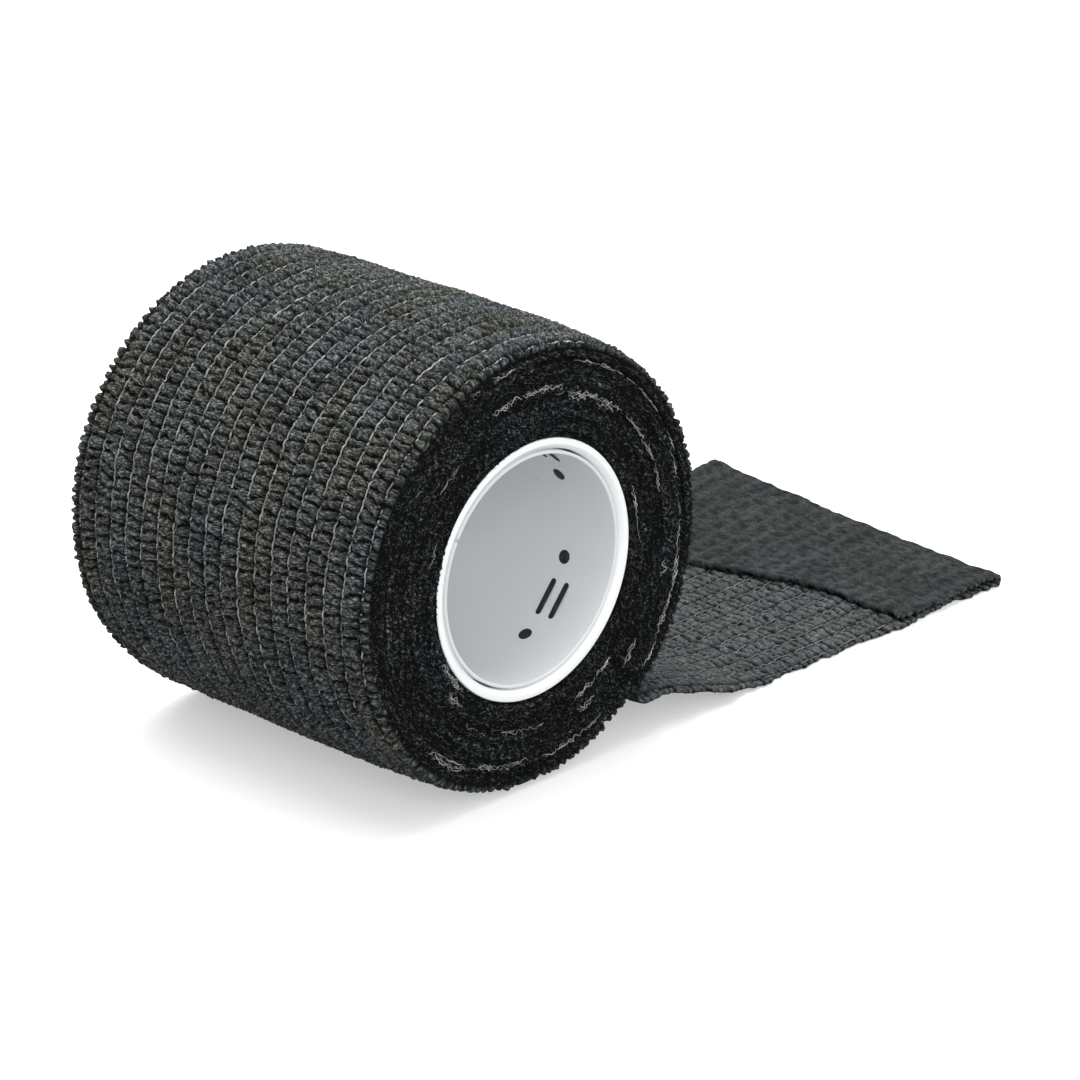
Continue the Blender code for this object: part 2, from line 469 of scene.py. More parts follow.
ROLL_STEPS = 960
FACE_STEPS = 72
CORNER_STEPS = 10
SIDE_STEPS = 240
BORE_STEPS = 6
CORNER_RADIUS = 1.1
FACE_INNER_RADIUS = CORE_RADIUS + 0.1
NEAR_DROP = 0.75  # how far the side falls in at its ends
FAR_DROP = 0.1
NEAR_FLAT = 6  # how far from the middle the fall starts
FAR_FLAT = 10
SEAM_MARGIN = 0.001  # the share of a turn that threads keep clear of the step at the peel
FLOOR_MARGIN = 0.03  # nothing reaches lower than this


AROUND = FULL_TURN * ROLL_RADIUS  # the run that makes one turn


def spiral_radius(turn):
    """The radius of the CAD roll's outside, a share of one turn after the peel."""
    return ROLL_RADIUS - TURN_PITCH * turn


def barrel(across):
    """How far the side falls in towards the roll's two ends."""
    near = np.clip((-across - NEAR_FLAT) / (HALF_WIDTH - NEAR_FLAT), 0, 1) ** 2
    far = np.clip((across - FAR_FLAT) / (HALF_WIDTH - FAR_FLAT), 0, 1) ** 2
    return -NEAR_DROP * near - FAR_DROP * far


def side_radius(turn, across):
    """The radius at the level of the threads."""
    swell = 0.12 * noise_2d(turn * AROUND, across, (13.0, 9.0), 47)
    return spiral_radius(turn) - 0.75 * RELIEF + barrel(across) + swell


def pressed(turn, radius):
    """The radius after the soft turns have flattened on the surface below the roll."""
    depth = np.cos(PEEL_ANGLE + FULL_TURN * turn)
    limit = AXIS_HEIGHT / np.maximum(depth, 0.5)
    outside = spiral_radius(turn)
    share = (limit - CORE_RADIUS) / (outside - CORE_RADIUS)
    squeezed = CORE_RADIUS + (radius - CORE_RADIUS) * share
    return np.where(depth * outside > AXIS_HEIGHT, squeezed, radius)


def on_roll(turn, radius, y):
    angle = PEEL_ANGLE + FULL_TURN * turn
    radius = pressed(turn, radius)
    place = np.stack([radius * np.sin(angle), y, AXIS_HEIGHT - radius * np.cos(angle)], -1)
    place[..., 2] = np.maximum(place[..., 2], FLOOR_MARGIN)
    return place


PARTING_FADE = 20
PARTING_WIDTH = 0.22
# Where neighbouring turns have parted on the near face: radius, first and last angle in degrees
# around the roll, and depth
PARTINGS = [
    (25.1, 48, 190, 0.5),
    (20.9, 92, 208, 0.35),
    (23.2, 215, 300, 0.25),
    (19.3, 318, 405, 0.3),
    (24.6, 330, 398, 0.3),
]


def parting(turn, radius, side):
    """How deep the gap between two turns is."""
    angle = np.degrees(PEEL_ANGLE) + 360 * turn
    depth = 0
    for middle, first, last, deepest in PARTINGS:
        within = smoothstep(first, first + PARTING_FADE, angle)
        within = within * (1 - smoothstep(last - PARTING_FADE, last, angle))
        drift = middle - TURN_PITCH * (angle - (first + last) / 2) / 360
        depth = depth + deepest * within * np.exp(-(((radius - drift) / PARTING_WIDTH) ** 2))
    return np.where(side < 0, depth, 0.5 * depth)


def face_relief(turn, radius, side):
    """How far the cut edges of the turns stand out from an end face, with their fuzz."""
    arc = turn * AROUND
    wound = (spiral_radius(turn) - radius) / TURN_PITCH
    layer = np.floor(wound)
    within = wound - layer
    stand_out = 0.2 * noise_2d(arc, side * 400 + layer * 13, (16.0, 9.0), 41)
    soft = np.clip(0.5 + 0.9 * noise_2d(arc, radius + side * 90, 8.0, 42), 0, 1)
    edge = (4 * within * (1 - within)) ** 0.5
    angle = PEEL_ANGLE + FULL_TURN * turn
    flat = np.stack([radius * np.sin(angle) + side * 60, radius * np.cos(angle)], -1).reshape(-1, 2)
    lumps = 0.2 * noise(flat, 0.8, 43) + 0.22 * noise(flat, 0.42, 44) + 0.16 * noise(flat, 0.27, 45)
    gap = parting(turn, radius, side)
    return stand_out + 0.3 * soft * (edge - 1) + lumps.reshape(np.shape(wound)) - gap - 0.05


def roll_section():
    """The roll cut along its axis, as six stretches: near face, near corner, side, far corner, far
    face and the bore, which faces nowhere because the core hides it. Each has shares of its length
    and the axial and radial direction that it faces."""
    face = np.linspace(0, 1, FACE_STEPS, endpoint=False)
    corner = np.linspace(0, 1, CORNER_STEPS, endpoint=False)
    side = np.linspace(0, 1, SIDE_STEPS, endpoint=False)
    bend = corner * math.pi / 2
    still, whole = np.zeros, np.ones
    return [
        (face, -whole(FACE_STEPS), still(FACE_STEPS)),
        (corner, -np.cos(bend), np.sin(bend)),
        (side, still(SIDE_STEPS), whole(SIDE_STEPS)),
        (corner, np.sin(bend), np.cos(bend)),
        (face, whole(FACE_STEPS), still(FACE_STEPS)),
        (np.linspace(0, 1, BORE_STEPS), still(BORE_STEPS), still(BORE_STEPS)),
    ]


def build_wound_fabric(material):
    turn = np.linspace(0, 1, ROLL_STEPS)[:, None]
    flat = HALF_WIDTH - CORNER_RADIUS
    stretches = roll_section()
    top_near = side_radius(turn, -flat) - CORNER_RADIUS
    top_far = side_radius(turn, flat) - CORNER_RADIUS
    start = FACE_INNER_RADIUS
    shares = [s[0][None] for s in stretches]
    across = -flat + 2 * flat * shares[2]
    radii = [
        start + (top_near - start) * shares[0],
        top_near + CORNER_RADIUS * stretches[1][2],
        side_radius(turn, across),
        top_far + CORNER_RADIUS * stretches[3][2],
        top_far + (start - top_far) * shares[4],
        np.full((1, BORE_STEPS), start),
    ]
    places = [
        np.full((1, FACE_STEPS), -HALF_WIDTH),
        -flat + CORNER_RADIUS * stretches[1][1][None],
        across,
        flat + CORNER_RADIUS * stretches[3][1][None],
        np.full((1, FACE_STEPS), HALF_WIDTH),
        HALF_WIDTH - 2 * HALF_WIDTH * shares[5],
    ]
    columns = sum(s.shape[1] for s in shares)
    shape = (ROLL_STEPS, columns)
    radius = np.concatenate([np.broadcast_to(r, (ROLL_STEPS, r.shape[1])) for r in radii], 1)
    y = np.concatenate([np.broadcast_to(p, (ROLL_STEPS, p.shape[1])) for p in places], 1)
    axial = np.broadcast_to(np.concatenate([s[1] for s in stretches]), shape)
    radial = np.broadcast_to(np.concatenate([s[2] for s in stretches]), shape)
    turn = np.broadcast_to(turn, shape)
    run = turn * AROUND
    shown = np.abs(axial) + np.abs(radial) > 0.5
    on_side = smoothstep(0.35, 0.95, radial)
    on_face = smoothstep(0.35, 0.95, np.abs(axial)) * shown
    side_height = crimp(run, y)
    face_height = face_relief(turn, radius, np.sign(y))
    rim = 1 - np.abs(on_side - on_face)
    teeth = 0.3 * noise_2d(run, np.sign(y) * 300 + 0.3 * radius, (1.0, 0.9), 46)
    outward = RELIEF * side_height * on_side + face_height * on_face + teeth * rim
    outward = outward * shown
    points = on_roll(turn, radius + outward * radial, y + outward * axial)
    strip = np.stack([run, np.where(on_side > 0.5, y, radius + 100), on_face], -1)
    height = np.where(on_side > 0.5, side_height, 0.5 + 1.1 * face_height)
    grid = np.arange(ROLL_STEPS * columns).reshape(shape)
    ends = [grid[-1], np.roll(grid[-1], -1), np.roll(grid[0], -1), grid[0]]
    faces = [grid_faces(ROLL_STEPS, columns, True)[:, ::-1], np.stack(ends, -1)[:, ::-1]]
    whole = Shape(points.reshape(-1, 3), faces, strip.reshape(-1, 3), height.ravel())
    obj = roll_piece("wound_fabric", [whole], material)
    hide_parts("inner_turns", "outer_turns")


def roll_normal(turn):
    angle = PEEL_ANGLE + FULL_TURN * turn
    return np.stack([np.sin(angle), np.zeros_like(angle), -np.cos(angle)], -1)


def thread_height(index, run):
    """How high a thread's middle lies over the level of the threads. It dips at the slots, and
    the threads next to the edges lie low."""
    lane = np.full(run.shape, index * 31.0)
    phase = puff_phase(run, -HALF_WIDTH + FIRST_THREAD + index * THREAD_PITCH + 0 * run, index)
    to_slot = to_nearest_whole(phase) * PUFF_LENGTH
    dip = 0.16 * np.exp(-((to_slot / 0.17) ** 2)) + 0.15 * (index in (0, THREAD_COUNT - 1))
    sway = 0.17 * noise_2d(run, lane, (1.3, 1.0), 51) + 0.12 * noise_2d(run, lane, (9.0, 1.0), 52)
    return 0.19 - dip + sway


def build_roll_threads(material):
    steps = int(AROUND / THREAD_STEP)
    turn = np.broadcast_to(np.linspace(SEAM_MARGIN, 1 - SEAM_MARGIN, steps), (THREAD_COUNT, steps))
    run = turn * AROUND
    index = np.arange(THREAD_COUNT)[:, None]
    across = np.stack([thread_across(i, run[i]) for i in range(THREAD_COUNT)])
    height = np.stack([thread_height(i, run[i]) for i in range(THREAD_COUNT)])
    paths = on_roll(turn, side_radius(turn, across) + height, across)
    radii = THREAD_RADIUS * (1 + 0.25 * noise_2d(run, index * 17.0, (0.9, 1.0), 53))
    shape = tubes(paths, radii, roll_normal(turn), THREAD_SIDES)
    roll_piece("roll_threads", [shape], material)


# Fuzz

SURFACE_FIBRES = 15000
FACE_FIBRES = 9000
FIBRE_POINTS = 4
FIBRE_SIDES = 3


def fibre_profile():
    share = np.linspace(0, 1, FIBRE_POINTS)[None]
    return share, np.sin(math.pi * share)


def build_roll_fuzz(material):
    """Fine fibres that lie over the puffs, mostly across the tape, and stand off the edges."""
    rng = np.random.default_rng(61)
    share, arch = fibre_profile()
    count = SURFACE_FIBRES
    run = rng.uniform(2, AROUND - 2, (count, 1))
    across = rng.uniform(-HALF_WIDTH + 1.2, HALF_WIDTH - 1.2, (count, 1))
    length = rng.uniform(0.3, 1.1, (count, 1))
    heading = rng.normal(0, 0.6, (count, 1))
    run = run + length * np.sin(heading) * (share - 0.5)
    across = across + length * np.cos(heading) * (share - 0.5)
    across = np.clip(across, -HALF_WIDTH + 1.1, HALF_WIDTH - 1.1)
    turn = run / AROUND
    lift = rng.uniform(-0.06, 0.1, (count, 1)) * arch
    height = RELIEF * crimp(run, across) + lift + 0.02
    paths = on_roll(turn, side_radius(turn, across) + height, across)
    radii = rng.uniform(0.018, 0.034, (count, 1)) * (1 - 0.6 * share**2)
    shape = tubes(paths, radii, roll_normal(turn), FIBRE_SIDES)
    roll_piece("roll_fuzz", [shape], material)


def build_face_fuzz(name, side, material, seed):
    """The cut ends of the fibres, which stand out of an end face in short tufts."""
    rng = np.random.default_rng(seed)
    share, _ = fibre_profile()
    count = FACE_FIBRES
    turn = rng.uniform(0.005, 0.995, (count, 1))
    outer = side_radius(turn, side * (HALF_WIDTH - CORNER_RADIUS)) - 0.6 * CORNER_RADIUS
    inner = FACE_INNER_RADIUS
    radius = np.sqrt(inner**2 + rng.uniform(0, 1, (count, 1)) * (outer**2 - inner**2))
    length = rng.uniform(0.15, 0.45, (count, 1))
    heading = rng.uniform(0, FULL_TURN, (count, 1))
    arc = length * np.cos(heading) * share
    turn = turn + arc / (FULL_TURN * radius)
    radius = radius + 0.5 * length * np.sin(heading) * share
    radius = np.clip(radius, inner + 0.1, outer)
    stand = face_relief(turn, radius, side) + rng.uniform(0.05, 0.35, (count, 1)) * share
    paths = on_roll(turn, radius, side * (HALF_WIDTH + stand))
    radii = rng.uniform(0.02, 0.045, (count, 1)) * (1 - 0.5 * share)
    shape = tubes(paths, radii, roll_normal(turn), FIBRE_SIDES)
    roll_piece(name, [shape], material)


# Pale thread ends that have frayed out of the near face: radius, first and last angle in degrees
# around the roll, how many strands lie side by side, and how loosely
NEAR_WISPS = [
    (22.0, 196, 172, 4, 0.4),
    (21.0, 170, 140, 6, 0.5),
    (21.3, 140, 103, 3, 0.25),
    (24.9, 164, 112, 2, 0.2),
    (24.3, 112, 74, 2, 0.2),
    (24.8, 76, 56, 5, 0.35),
    (25.8, 203, 189, 2, 0.3),
    (17.1, 108, 84, 3, 0.25),
    (20.3, 229, 214, 2, 0.3),
    (17.8, 250, 237, 2, 0.3),
    (24.0, 312, 327, 2, 0.2),
    (16.6, 296, 310, 6, 0.5),
    (17.9, 309, 316, 5, 0.5),
    (19.6, 324, 378, 1, 0.3),
    (24.4, 316, 330, 4, 0.4),
    (23.6, 337, 347, 5, 0.4),
    (23.5, 350, 353, 9, 0.5),
    (24.0, 364, 388, 3, 0.3),
    (19.2, 383, 403, 4, 0.35),
    (21.9, 399, 413, 3, 0.35),
    (25.4, 401, 412, 2, 0.3),
    (22.0, 72, 76, 4, 0.6),
    (21.0, 381, 385, 4, 0.6),
]
FAR_WISPS = [
    (21.5, 40, 95, 3, 0.35),
    (24.5, 70, 130, 2, 0.25),
    (18.0, 150, 185, 3, 0.3),
    (24.9, 190, 250, 3, 0.3),
    (20.5, 230, 262, 4, 0.4),
    (22.8, 285, 330, 2, 0.3),
    (17.2, 320, 350, 2, 0.25),
    (25.6, 345, 362, 3, 0.35),
]
WISP_POINTS = 14
WISP_SIDES = 4
WISP_SPACING = 2.4


def inside_turn(turn):
    """Moves each strand as a whole, so that none crosses the step at the peel."""
    turn = turn + np.maximum(SEAM_MARGIN - turn.min(axis=1, keepdims=True), 0)
    return turn - np.maximum(turn.max(axis=1, keepdims=True) - (1 - SEAM_MARGIN), 0)


def build_wisps(name, side, arcs, material, seed):
    """Each arc is a loose line of short curly fibres."""
    rng = np.random.default_rng(seed)
    share = np.linspace(0, 1, WISP_POINTS)[None]
    shapes = []
    for radius, first, last, strands, looseness in arcs:
        start, end = math.radians(min(first, last)), math.radians(max(first, last))
        count = max(2, int(strands * (end - start) * radius / WISP_SPACING))
        reach = rng.uniform(0.8, 3.0, (count, 1)) / radius
        middle = start + (end - start) * rng.uniform(0, 1, (count, 1))
        turn = (middle + reach * (share - 0.5) - PEEL_ANGLE) / FULL_TURN
        turn = inside_turn(turn - np.floor(turn.mean()))
        arc = turn * FULL_TURN * radius
        lane = rng.uniform(0, 900, (count, 1)) + 0 * arc
        sway = looseness * noise_2d(arc, lane, (0.9, 1.0), seed + 1)
        sway += 0.6 * looseness * noise_2d(arc, lane, (0.35, 1.0), seed + 2)
        curl = 0.35 * looseness * noise_2d(arc, lane + 40, (0.5, 1.0), seed + 4)
        place = radius + rng.normal(0, 0.25 * looseness, (count, 1)) + sway
        turn = inside_turn(turn + curl / radius / FULL_TURN)
        out = 0.1 + 0.14 * (1 + noise_2d(arc, lane + 7, (0.9, 1.0), seed + 3))
        stand = face_relief(turn, place, side) * 0.7 + out
        paths = on_roll(turn, place, side * (HALF_WIDTH + stand))
        radii = rng.uniform(0.018, 0.04, (count, 1)) * (1 - 0.5 * np.abs(2 * share - 1) ** 3)
        shapes.append(tubes(paths, radii, roll_normal(turn), WISP_SIDES))
    roll_piece(name, shapes, material)


# The core and its liner

LATHE_STEPS = 256
EDGE_STEPS = 6
RIM_FLAT = 0.75
RIM_SLOPE = 0.3


def rounded_edge(corner_radius, center_radius, center_y, start, end):
    """An arc of an outline, as radius and y, from one angle in degrees to another."""
    turn = np.radians(np.linspace(start, end, EDGE_STEPS))
    radius = center_radius + corner_radius * np.cos(turn)
    y = center_y + corner_radius * np.sin(turn)
    return list(zip(radius.tolist(), y.tolist()))


def lathe(profile, angles, closed):
    """Turns a closed outline of radius and y about the roll's axis."""
    profile = np.array(profile)
    radius, y = profile[:, 0], profile[:, 1]
    angle = angles[:, None]
    rows, columns = len(angles), len(profile)
    x, z = radius * np.sin(angle), AXIS_HEIGHT - radius * np.cos(angle)
    points = np.stack([x, np.broadcast_to(y, (rows, columns)), z], -1)
    faces = [grid_faces(rows, columns, True)]
    grid = np.arange(rows * columns).reshape(rows, columns)
    if closed:
        ends = [grid[-1], np.roll(grid[-1], -1), np.roll(grid[0], -1), grid[0]]
        faces.append(np.stack(ends, -1))
    else:
        faces += [grid[:1, ::-1], grid[-1:]]
    return points.reshape(-1, 3), faces


def mirrored_outline(half):
    return half + [(radius, -y) for radius, y in reversed(half)]


def build_core(material):
    """A tube whose rim is flat outside and slopes in towards its bore."""
    edge = 0.2
    bore = CORE_RADIUS - CORE_WALL
    half = rounded_edge(edge, CORE_RADIUS - edge, HALF_WIDTH - edge, 0, 90)
    half += rounded_edge(0.1, CORE_RADIUS - RIM_FLAT, HALF_WIDTH - 0.1, 90, 150)
    half += [(bore, HALF_WIDTH - RIM_SLOPE), (bore, HALF_WIDTH - 2.0)]
    angles = np.arange(LATHE_STEPS) * FULL_TURN / LATHE_STEPS
    points, faces = lathe(mirrored_outline(half), angles, True)
    obj = roll_piece("core_body", [plain_shape(points, faces)], material)
    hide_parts("core_tube")


def build_liner(material):
    edge = 0.15
    inner = LINER_OUTER - LINER_THICKNESS
    length = HALF_WIDTH - RIM_SLOPE - 0.03
    outer = LINER_OUTER - 0.01
    half = [(outer, length - 0.02), (outer - 0.04, length)]
    half += rounded_edge(edge, inner + edge, length - edge, 90, 180)
    half.append((inner, length - 2.0))
    slit = 0.12 / LINER_OUTER
    angles = np.linspace(LINER_SEAM_ANGLE + slit, LINER_SEAM_ANGLE + FULL_TURN - slit, LATHE_STEPS)
    points, faces = lathe(mirrored_outline(half), angles, False)
    obj = roll_piece("liner_sleeve", [plain_shape(points, faces)], material)
    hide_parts("core_liner")


MARK_THICKNESS = 0.02
MARK_REPEATS = 4
MARK_TURN = math.radians(28)
MARK_INSET = 7.5
MARK_ROW = [("disc", 0.0, 0.0), ("bar", 5.4, 0.5), ("bar", 5.4, -1.6), ("disc", 10.6, 0.0)]
DISC_RADIUS = 0.85
DISC_STEPS = 24
BAR_HALF_LENGTH = 2.0
BAR_HALF_WIDTH = 0.4
BAR_END_STEPS = 12


def mark_outline(kind):
    """A disc or a bar with round ends, in millimetres on the flat sheet."""
    if kind == "disc":
        turn = np.linspace(0, FULL_TURN, DISC_STEPS, endpoint=False)
        return DISC_RADIUS * np.stack([np.cos(turn), np.sin(turn)], -1)
    left = np.linspace(math.pi / 2, 3 * math.pi / 2, BAR_END_STEPS)
    ends = []
    for middle, turn in ((-BAR_HALF_LENGTH, left), (BAR_HALF_LENGTH, left + math.pi)):
        x = middle + BAR_HALF_WIDTH * np.cos(turn)
        ends.append(np.stack([x, BAR_HALF_WIDTH * np.sin(turn)], -1))
    return np.concatenate(ends)


def build_marks(material):
    """Plain printed discs and bars, in a row that repeats round the sleeve."""
    radius = LINER_OUTER - LINER_THICKNESS
    shapes = []
    for repeat in range(MARK_REPEATS):
        turned = MARK_TURN + repeat * FULL_TURN / MARK_REPEATS
        for kind, along, up in MARK_ROW:
            outline = mark_outline(kind)
            arc = (outline[:, 0] + along) / radius + turned
            y = outline[:, 1] + up - LINER_HALF_LENGTH + MARK_INSET
            rings = []
            for r in (radius, radius - MARK_THICKNESS):
                rings.append(np.stack([r * np.sin(arc), y, AXIS_HEIGHT - r * np.cos(arc)], -1))
            count = len(outline)
            corner = np.arange(count)
            caps = np.stack([corner[::-1], corner + count])
            shapes.append(plain_shape(np.concatenate(rings), [grid_faces(2, count, True), caps]))
    roll_piece("liner_marks", shapes, material)


# The free end

TAIL_STEP = 0.25
TAIL_COLUMNS = 200
TAIL_RELIEF = 0.4
INNER_RELIEF = 0.2
FOLD_RADIUS = (TAPE_THICKNESS + FOLD_GAP) / 2
FOLD_HEIGHT = HALF_THICKNESS + FOLD_RADIUS
FOLD_DIP = 1.0
FLAP_RISE = -0.05
CUT_NEAR_X = 66.8
CUT_SLANT = 5.8
CUT_SLANT_Y = (-14, 12)
RIPPLE_X = 70
CREASE_LENGTH = CREASE_RADIUS * (math.pi - PEEL_ANGLE)
TAIL_FIBRES_PER_MM = 26
TAIL_THREAD_LOOK = 1  # the places of the looks in the list of materials
TAIL_FUZZ_LOOK = 2
# Where the free tape is divided, and how far each bend reaches to either side
RISE_X = 27.2
FLAT_X = 43.5
FOLD_PIECE_X = 76.5
FLAP_START = 1.5


def middle_height(x):
    share = np.clip((x - CREASE[0]) / (TOUCHDOWN_X - CREASE[0]), 0, 1)
    drop = CREASE[1] - CREASE_RADIUS - HALF_THICKNESS
    return HALF_THICKNESS + drop * (1 + np.cos(math.pi * share)) / 2


def cut_x(y):
    """The cut edge of the folded end, which bends back towards the roll at its far side."""
    return CUT_NEAR_X - CUT_SLANT * smoothstep(*CUT_SLANT_Y, y)


def free_line():
    """The middle of the free tape from the peel over the fold to past the cut, seen along Y.
    It gives x and z along it, and how far along each point is."""
    bend = np.linspace(math.pi / 2 + PEEL_ANGLE, 3 * math.pi / 2, 24)
    crease = CREASE + CREASE_RADIUS * np.stack([np.cos(bend), np.sin(bend)], -1)
    x = np.linspace(CREASE[0], FOLD_X, 1200)[1:]
    level = np.stack([x, middle_height(x)], -1)
    turn = np.linspace(-math.pi / 2, math.pi / 2, 40)[1:]
    fold = np.stack([np.cos(turn), np.sin(turn)], -1) * FOLD_RADIUS + (FOLD_X, FOLD_HEIGHT)
    x = np.linspace(FOLD_X, 50, 400)[1:]
    back = np.stack([x, np.full(len(x), FOLD_HEIGHT + FOLD_RADIUS)], -1)
    line = np.concatenate([crease, level, fold, back])
    steps = np.linalg.norm(np.diff(line, axis=0), axis=1)
    return line, np.concatenate([[0], np.cumsum(steps)])


FREE_LINE, ALONG_LINE = free_line()
FREE_TANGENT = unit(np.gradient(FREE_LINE, ALONG_LINE, axis=0))


def place_at(x):
    """How far along the free tape its lower layer passes this x."""
    lower = (ALONG_LINE > CREASE_LENGTH) & (FREE_LINE[:, 1] < FOLD_HEIGHT - FOLD_RADIUS + 6)
    lower &= np.arange(len(lower)) < np.argmax(FREE_LINE[:, 0])
    return np.interp(x, FREE_LINE[lower, 0], ALONG_LINE[lower])


FOLD_START = place_at(FOLD_X)
FOLD_END = FOLD_START + math.pi * FOLD_RADIUS


def tape_place(along, across, outward):
    """Points of the free tape, from their place along and across it and how far out they are from
    its middle, towards the face that is outside on the roll."""
    columns = [*FREE_LINE.T, *FREE_TANGENT.T]
    x, z, tangent_x, tangent_z = (np.interp(along, ALONG_LINE, c) for c in columns)
    length = np.hypot(tangent_x, tangent_z)
    x = x - tangent_z / length * outward
    z = z + tangent_x / length * outward
    side = (across + HALF_WIDTH) / (2 * HALF_WIDTH)
    z = z + FAR_LIFT * smoothstep(SECOND_BEND_X, FOLD_X, x) * side
    z = z + FLAP_RISE * smoothstep(FOLD_END, FOLD_END + 7, along)
    ripple = 0.45 * noise_2d(across, 0 * across, (4.2, 1.0), 78)
    ripple += 0.22 * noise_2d(across, 0 * across, (1.4, 1.0), 79)
    dip = FOLD_DIP * (0.7 - (across / HALF_WIDTH) ** 2)
    x = x + (ripple - dip) * smoothstep(RIPPLE_X, FOLD_X, x)
    return np.stack([x, across, np.maximum(z, FLOOR_MARGIN)], -1)


def inner_relief(run, across):
    """The height of the inner face, which is smoother and has low ribs at the threads."""
    place = (across + HALF_WIDTH - FIRST_THREAD - wander(run, across)) / THREAD_PITCH
    between = place - np.floor(place)
    rib = np.abs(2 * between - 1) ** 3
    folds = 0.4 * noise_2d(run, across, (1.0, 1.6), 71)
    folds += 0.3 * noise_2d(run, across, (0.5, 0.8), 72)
    return 0.5 + 0.4 * rib + folds + 0.2 * noise_2d(run, across, 0.35, 73)


def edge_teeth(run, side):
    lane = side * 70.0
    teeth = 0.3 * noise_2d(run, lane, (1.1, 1.0), 74) + 0.45 * noise_2d(run, lane, (3.4, 1.0), 75)
    return teeth + 0.4 * noise_2d(run, lane, (11.0, 1.0), 76)


OUTER_CALM_REACH = 9.0
INNER_CALM_REACH = 1.0
CALM_DEPTH = 0.72


def calm_share(along, face):
    """How much of its relief a face keeps: little where the tape bends sharply, and little on the
    two outer faces that are pressed together in the fold."""
    in_crease = 1 - smoothstep(CREASE_LENGTH, CREASE_LENGTH + 1.5, along)
    reach = np.where(np.asarray(face) > 0, OUTER_CALM_REACH, INNER_CALM_REACH)
    in_fold = 1 - smoothstep(reach, 1.5 * reach, np.abs(along - (FOLD_START + FOLD_END) / 2))
    return 1 - CALM_DEPTH * np.maximum(in_crease, in_fold)


def ring_of_tape():
    """Once around the tape's cut end: shares of its width, and 1 on the outer face, -1 on the
    inner one and 0 on the edges."""
    width = np.linspace(-1, 1, TAIL_COLUMNS)
    share = np.concatenate([width, [1.0], width[::-1], [-1.0]])
    face = np.concatenate([np.ones(TAIL_COLUMNS), [0.0], -np.ones(TAIL_COLUMNS), [0.0]])
    return share, face


def tape_band(along):
    """A solid stretch of the free tape. along (rows, ring) is where its points lie along it."""
    share, face = ring_of_tape()
    along, share, face = np.broadcast_arrays(along, share[None], face[None])
    run = -along
    side = np.sign(share)
    at_edge = smoothstep(0.93, 1.0, np.abs(share))
    across = share * HALF_WIDTH + side * at_edge * edge_teeth(run, side)
    across = across + 0.12 * side * (face == 0)
    outer_height, inner_height = crimp(run, across), inner_relief(run, across)
    outer = HALF_THICKNESS + TAIL_RELIEF * (outer_height - 0.45) * calm_share(along, face)
    inner = HALF_THICKNESS + INNER_RELIEF * (inner_height - 0.6) * calm_share(along, face)
    outward = np.where(face > 0, outer, -inner) * np.abs(face) * (1 - 0.35 * at_edge)
    points = tape_place(along, across, outward)
    height = np.where(face >= 0, outer_height, inner_height)
    strip = np.stack([run, across, (face < 0) * 1.0], -1)
    rows, columns = points.shape[:2]
    grid = np.arange(rows * columns).reshape(rows, columns)
    quads, tips = [grid_faces(rows, columns, True)], []
    half = TAIL_COLUMNS
    for ring, order in ((grid[0], -1), (grid[-1], 1)):
        top, bottom = ring[:half], ring[half + 1 : -1][::-1]
        quads.append(np.stack([top[:-1], top[1:], bottom[1:], bottom[:-1]], -1)[:, ::order])
        corners = [[top[-1], ring[half], bottom[-1]], [bottom[0], ring[-1], top[0]]]
        tips.append(np.array(corners)[:, ::order])
    faces = [np.concatenate(quads), np.concatenate(tips)]
    return Shape(points.reshape(-1, 3), faces, strip.reshape(-1, 3), height.ravel())


def tape_threads(start, end):
    """The pale threads along the outer face."""
    steps = max(8, int((end - start) / THREAD_STEP))
    along = np.broadcast_to(np.linspace(start, end, steps), (THREAD_COUNT, steps))
    across = np.stack([thread_across(i, -along[i]) for i in range(THREAD_COUNT)])
    height = np.stack([thread_height(i, -along[i]) for i in range(THREAD_COUNT)])
    outward = HALF_THICKNESS + (0.8 * height - 0.42 * TAIL_RELIEF) * calm_share(along, 1)
    paths = tape_place(along, across, outward)
    normals = unit(tape_place(along, across, outward + 1) - paths)
    radii = np.full(along.shape, 0.8 * THREAD_RADIUS)
    return tubes(paths, radii, normals, THREAD_SIDES, TAIL_THREAD_LOOK)


def tape_fuzz(start, end, face, seed):
    """Fine fibres that lie on one face of the free tape."""
    rng = np.random.default_rng(seed)
    share, arch = fibre_profile()
    count = int((end - start) * TAIL_FIBRES_PER_MM)
    along = rng.uniform(start + 0.5, end - 0.5, (count, 1))
    across = rng.uniform(-HALF_WIDTH + 1, HALF_WIDTH - 1, (count, 1))
    length = rng.uniform(0.5, 1.5, (count, 1))
    heading = rng.normal(0, 0.6, (count, 1))
    along = np.clip(along + length * np.sin(heading) * (share - 0.5), start, end)
    across = across + length * np.cos(heading) * (share - 0.5)
    lift = rng.uniform(0.02, 0.16, (count, 1)) * arch
    outer = TAIL_RELIEF * (crimp(-along, across) - 0.45)
    inner = INNER_RELIEF * (inner_relief(-along, across) - 0.6)
    relief = (outer if face > 0 else inner) + lift
    outward = face * (HALF_THICKNESS + relief * calm_share(along, face))
    paths = tape_place(along, across, outward)
    normals = unit(tape_place(along, across, outward + face) - paths)
    radii = rng.uniform(0.018, 0.034, (count, 1)) * (1 - 0.6 * share**2)
    return tubes(paths, radii, normals, FIBRE_SIDES, TAIL_FUZZ_LOOK)


